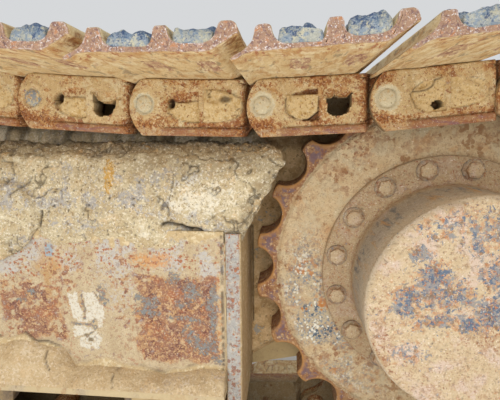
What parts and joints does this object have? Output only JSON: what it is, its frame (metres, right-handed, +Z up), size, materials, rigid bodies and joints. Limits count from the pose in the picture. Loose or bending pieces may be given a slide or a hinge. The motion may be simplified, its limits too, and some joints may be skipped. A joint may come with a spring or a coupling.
{
  "type": "excavator crawler track unit",
  "caption": "One side's crawler track of a tracked excavator: muddy frame, toothed drive wheel and hub, idler, rollers and a chain with grouser shoes.",
  "frame": {"origin": "bottom centre of the bounding box: on the ground under the middle of the track", "axes": "+X along the track towards the drive end, +Y across the track towards the car body, +Z up"},
  "size_m": [4.0474, 0.6, 0.8244],
  "materials": {
    "frame_paint": "worn paint under dried mud, rust patches",
    "end_plate": "worn grey paint with rust specks",
    "bracket": "muddy paint",
    "drive_paint": "muddy paint with rust specks",
    "sprocket_steel": "rusty cast steel with a muddy film",
    "roller_steel": "worn steel",
    "shaft_steel": "worn steel",
    "yoke_steel": "rusty steel under mud",
    "leg_paint": "worn paint under dust",
    "shoe_steel": "rusty steel with dried clay",
    "link_steel": "rusty steel under dried mud",
    "mud": "dried, packed mud"
  },
  "bodies": {
    "root": {"track_frame": "frame_paint", "frame_end_plate": "end_plate", "idler_guides": "frame_paint", "drive_bracket": "bracket", "drive_spindle": "drive_paint", "travel_motor": "drive_paint", "motor_guard": "frame_paint", "sprocket": "sprocket_steel", "hub_drum": "drive_paint", "hub_cover": "drive_paint", "idler_axle": "shaft_steel", "idler_yoke": "yoke_steel", "idler_blocks": "yoke_steel", "tension_rod": "shaft_steel", "roller_collars": "yoke_steel", "chain_guides": "yoke_steel", "grease_cover": "frame_paint", "leg_rear": "leg_paint", "leg_front": "leg_paint", "track_shoes": "shoe_steel", "links_outer": "link_steel", "links_inner": "link_steel", "bushings": "link_steel", "mud_on_roof": "mud", "mud_on_ledge": "mud", "track_roller_1": "roller_steel", "track_roller_2": "roller_steel", "track_roller_3": "roller_steel", "track_roller_4": "roller_steel", "track_roller_5": "roller_steel", "track_roller_6": "roller_steel", "track_roller_7": "roller_steel", "carrier_roller_1": "roller_steel", "carrier_roller_2": "roller_steel", "carrier_bracket_1": "frame_paint", "carrier_bracket_2": "frame_paint"},
    "idler": {"idler_wheel": "roller_steel"}
  },
  "joints": [
    {"name": "idler_spin", "type": "hinge", "parent": "root", "child": "idler", "pos_m": [-1.64607, 0, 0.406], "axis": [0, 1, 0], "continuous": true}
  ]
}
